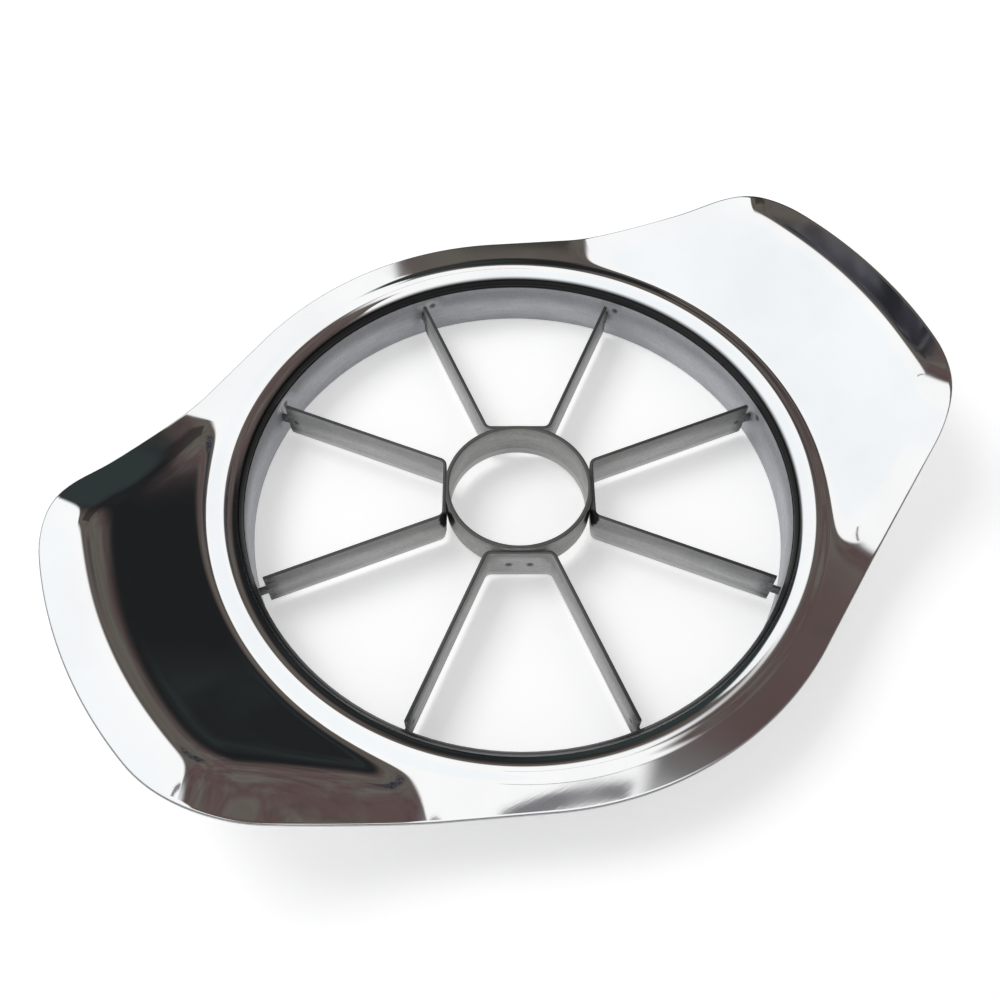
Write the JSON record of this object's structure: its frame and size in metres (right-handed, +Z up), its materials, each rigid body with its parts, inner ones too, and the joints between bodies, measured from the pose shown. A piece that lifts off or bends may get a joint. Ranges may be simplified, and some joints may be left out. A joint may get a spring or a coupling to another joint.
{
  "type": "apple slicer and corer",
  "caption": "Press-down apple slicer: round blade ring with radial blades about a corer ring, held in a pressed sheet body with two upturned wing grips.",
  "frame": {"origin": "on the blade ring's axis, at the ring's bottom rim", "axes": "+Z up along the ring's axis, +X along the line through both wing grips"},
  "size_m": [0.1582, 0.1188, 0.0243],
  "materials": {
    "polished_steel": "mirror polished stainless steel sheet",
    "satin_steel": "satin rolled stainless steel strip",
    "ground_steel": "satin stainless steel with ground edges"
  },
  "bodies": {
    "root": {"body": "polished_steel", "blade_ring": "satin_steel", "corer_ring": "satin_steel", "blade_strip_front_right": "ground_steel", "blade_strip_back_right": "ground_steel", "blade_strip_back_left": "ground_steel", "blade_strip_front_left": "ground_steel"}
  },
  "joints": []
}
